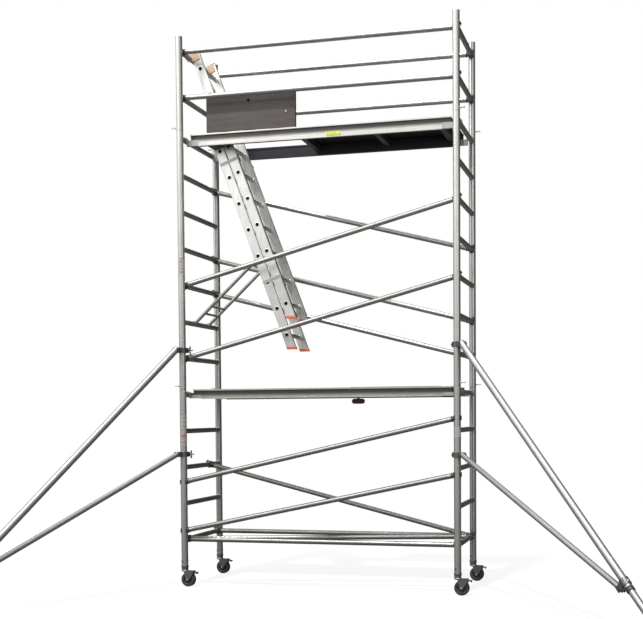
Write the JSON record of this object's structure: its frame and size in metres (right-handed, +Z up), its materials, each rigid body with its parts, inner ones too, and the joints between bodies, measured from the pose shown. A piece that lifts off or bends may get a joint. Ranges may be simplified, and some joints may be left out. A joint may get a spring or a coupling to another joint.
{
  "type": "mobile tower scaffold",
  "caption": "Wheeled access tower of stacked ladder frames with braces, guard rails, two decks with hatches, a leaning ladder and outriggers.",
  "frame": {"origin": "on the floor, midway between the four posts", "axes": "+X along the tower from the left end frame to the right one, +Y from the front braces to the rear ones, +Z up"},
  "size_m": [4.7265, 2.6915, 4.208],
  "materials": {
    "frame_aluminium": "mill finish, drawn tube",
    "brace_aluminium": "mill finish, drawn tube",
    "rail_aluminium": "mill finish extrusion",
    "ladder_aluminium": "bright extrusion",
    "outrigger_aluminium": "weathered mill finish",
    "cast_grey": "as cast",
    "fork_steel": "zinc plated, dull",
    "zinc_steel": "zinc plated",
    "dark_steel": "dark grey",
    "black_plastic": "moulded",
    "trigger_plastic": "moulded",
    "maroon_plastic": "moulded",
    "orange_plastic": "moulded",
    "wheel_rubber": "solid rubber",
    "foot_rubber": "moulded rubber",
    "phenolic_ply": "film faced plywood"
  },
  "bodies": {
    "tower": {"frame_base_left": "frame_aluminium", "frame_base_right": "frame_aluminium", "frame_upper_left": "frame_aluminium", "frame_upper_right": "frame_aluminium", "frame_guard_left": "frame_aluminium", "frame_guard_right": "frame_aluminium", "frame_spigots": "cast_grey", "spring_clips": "zinc_steel", "castor_stems": "fork_steel", "front_diagonals": "brace_aluminium", "rear_diagonals": "brace_aluminium", "base_braces": "brace_aluminium", "guard_rails": "brace_aluminium", "snap_hooks": "black_plastic", "post_clips": "black_plastic", "platform_frames": "rail_aluminium", "platform_claws": "cast_grey", "deck_boards": "phenolic_ply", "hatch_hinge_pins": "zinc_steel", "ladder_lower": "ladder_aluminium", "ladder_lower_feet": "orange_plastic", "ladder_guides": "black_plastic", "ladder_stay": "brace_aluminium"},
    "castor_front_left": {"castor_fork_front_left": "fork_steel", "castor_axle_front_left": "zinc_steel"},
    "wheel_front_left": {"castor_wheel_front_left": "wheel_rubber"},
    "brake_front_left": {"castor_brake_front_left": "dark_steel"},
    "castor_front_right": {"castor_fork_front_right": "fork_steel", "castor_axle_front_right": "zinc_steel"},
    "wheel_front_right": {"castor_wheel_front_right": "wheel_rubber"},
    "brake_front_right": {"castor_brake_front_right": "dark_steel"},
    "castor_rear_left": {"castor_fork_rear_left": "fork_steel", "castor_axle_rear_left": "zinc_steel"},
    "wheel_rear_left": {"castor_wheel_rear_left": "wheel_rubber"},
    "brake_rear_left": {"castor_brake_rear_left": "dark_steel"},
    "castor_rear_right": {"castor_fork_rear_right": "fork_steel", "castor_axle_rear_right": "zinc_steel"},
    "wheel_rear_right": {"castor_wheel_rear_right": "wheel_rubber"},
    "brake_rear_right": {"castor_brake_rear_right": "dark_steel"},
    "hook_triggers": {"hook_triggers": "trigger_plastic"},
    "top_hinged_leaf": {"top_hatch_hinged_leaf": "phenolic_ply", "top_hatch_fold_pin": "zinc_steel"},
    "top_folding_leaf": {"top_hatch_folding_leaf": "phenolic_ply"},
    "low_hinged_leaf": {"low_hatch_hinged_leaf": "phenolic_ply", "low_hatch_fold_pin": "zinc_steel"},
    "low_folding_leaf": {"low_hatch_folding_leaf": "phenolic_ply"},
    "low_catch": {"low_hatch_catch": "maroon_plastic"},
    "ladder_upper": {"ladder_upper": "ladder_aluminium", "ladder_upper_feet": "orange_plastic", "ladder_hooks": "black_plastic"},
    "outrigger_left": {"outrigger_left_tube": "outrigger_aluminium", "outrigger_left_strut": "outrigger_aluminium", "outrigger_left_clamps": "dark_steel"},
    "outrigger_left_extension": {"outrigger_left_extension": "outrigger_aluminium"},
    "outrigger_left_foot": {"outrigger_left_foot": "foot_rubber"},
    "outrigger_right": {"outrigger_right_tube": "outrigger_aluminium", "outrigger_right_strut": "outrigger_aluminium", "outrigger_right_clamps": "dark_steel"},
    "outrigger_right_extension": {"outrigger_right_extension": "outrigger_aluminium"},
    "outrigger_right_foot": {"outrigger_right_foot": "foot_rubber"}
  },
  "joints": [
    {"name": "castor_front_left_swivel", "type": "hinge", "parent": "tower", "child": "castor_front_left", "pos_m": [-1.065, -0.385, 0.12], "axis": [0, 0, 1], "continuous": true},
    {"name": "wheel_front_left_spin", "type": "hinge", "parent": "castor_front_left", "child": "wheel_front_left", "pos_m": [-1.035, -0.385, 0.055], "axis": [0, 1, 0], "continuous": true},
    {"name": "brake_front_left_press", "type": "hinge", "parent": "castor_front_left", "child": "brake_front_left", "pos_m": [-0.997, -0.385, 0.11], "axis": [0, 1, 0], "range_deg": [0, 12]},
    {"name": "castor_front_right_swivel", "type": "hinge", "parent": "tower", "child": "castor_front_right", "pos_m": [1.065, -0.385, 0.12], "axis": [0, 0, 1], "continuous": true},
    {"name": "wheel_front_right_spin", "type": "hinge", "parent": "castor_front_right", "child": "wheel_front_right", "pos_m": [1.095, -0.385, 0.055], "axis": [0, 1, 0], "continuous": true},
    {"name": "brake_front_right_press", "type": "hinge", "parent": "castor_front_right", "child": "brake_front_right", "pos_m": [1.133, -0.385, 0.11], "axis": [0, 1, 0], "range_deg": [0, 12]},
    {"name": "castor_rear_left_swivel", "type": "hinge", "parent": "tower", "child": "castor_rear_left", "pos_m": [-1.065, 0.385, 0.12], "axis": [0, 0, 1], "continuous": true},
    {"name": "wheel_rear_left_spin", "type": "hinge", "parent": "castor_rear_left", "child": "wheel_rear_left", "pos_m": [-1.035, 0.385, 0.055], "axis": [0, 1, 0], "continuous": true},
    {"name": "brake_rear_left_press", "type": "hinge", "parent": "castor_rear_left", "child": "brake_rear_left", "pos_m": [-0.997, 0.385, 0.11], "axis": [0, 1, 0], "range_deg": [0, 12]},
    {"name": "castor_rear_right_swivel", "type": "hinge", "parent": "tower", "child": "castor_rear_right", "pos_m": [1.065, 0.385, 0.12], "axis": [0, 0, 1], "continuous": true},
    {"name": "wheel_rear_right_spin", "type": "hinge", "parent": "castor_rear_right", "child": "wheel_rear_right", "pos_m": [1.095, 0.385, 0.055], "axis": [0, 1, 0], "continuous": true},
    {"name": "brake_rear_right_press", "type": "hinge", "parent": "castor_rear_right", "child": "brake_rear_right", "pos_m": [1.133, 0.385, 0.11], "axis": [0, 1, 0], "range_deg": [0, 12]},
    {"name": "hook_triggers_lift", "type": "slide", "parent": "tower", "child": "hook_triggers", "axis": [0, 0, 1], "range_m": [0, 0.016]},
    {"name": "top_hatch_hinge", "type": "hinge", "parent": "tower", "child": "top_hinged_leaf", "pos_m": [-0.5275, -0.277, 3.489], "axis": [1, 0, 0], "range_deg": [-15, 2]},
    {"name": "top_hatch_fold", "type": "hinge", "parent": "top_hinged_leaf", "child": "top_folding_leaf", "pos_m": [-0.5275, -0.277, 3.766], "axis": [1, 0, 0], "range_deg": [-30, 0]},
    {"name": "low_hatch_hinge", "type": "hinge", "parent": "tower", "child": "low_hinged_leaf", "pos_m": [0.5275, 0.277, 1.529], "axis": [-1, 0, 0], "range_deg": [0, 88]},
    {"name": "low_hatch_fold", "type": "hinge", "parent": "low_hinged_leaf", "child": "low_folding_leaf", "pos_m": [0.5275, 0, 1.529], "axis": [-1, 0, 0], "range_deg": [0, 178]},
    {"name": "low_catch_turn", "type": "hinge", "parent": "low_folding_leaf", "child": "low_catch", "pos_m": [0.244, -0.046, 1.475], "axis": [0, 0, 1], "range_deg": [0, 90]},
    {"name": "ladder_upper_slide", "type": "slide", "parent": "tower", "child": "ladder_upper", "axis": [-0.3469, 0, 0.9379], "range_m": [0, 0.22]},
    {"name": "outrigger_left_swing", "type": "hinge", "parent": "tower", "child": "outrigger_left", "pos_m": [-1.065, -0.385, 1.824], "axis": [0, 0, 1], "range_deg": [-50, 28]},
    {"name": "outrigger_left_reach", "type": "slide", "parent": "outrigger_left", "child": "outrigger_left_extension", "axis": [-0.377, -0.6531, -0.6568], "range_m": [-0.25, 0.1]},
    {"name": "outrigger_left_foot_tilt", "type": "hinge", "parent": "outrigger_left_extension", "child": "outrigger_left_foot", "pos_m": [-2.12, -2.21231, 0.042], "axis": [0.866, -0.5, 0], "range_deg": [-15, 15]},
    {"name": "outrigger_right_swing", "type": "hinge", "parent": "tower", "child": "outrigger_right", "pos_m": [1.065, -0.385, 1.824], "axis": [0, 0, 1], "range_deg": [-40.5, 37.5]},
    {"name": "outrigger_right_reach", "type": "slide", "parent": "outrigger_right", "child": "outrigger_right_extension", "axis": [0.5095, -0.556, -0.6568], "range_m": [-0.25, 0.1]},
    {"name": "outrigger_right_foot_tilt", "type": "hinge", "parent": "outrigger_right_extension", "child": "outrigger_right_foot", "pos_m": [2.4905, -1.94066, 0.042], "axis": [0.7373, 0.6756, 0], "range_deg": [-15, 15]}
  ]
}
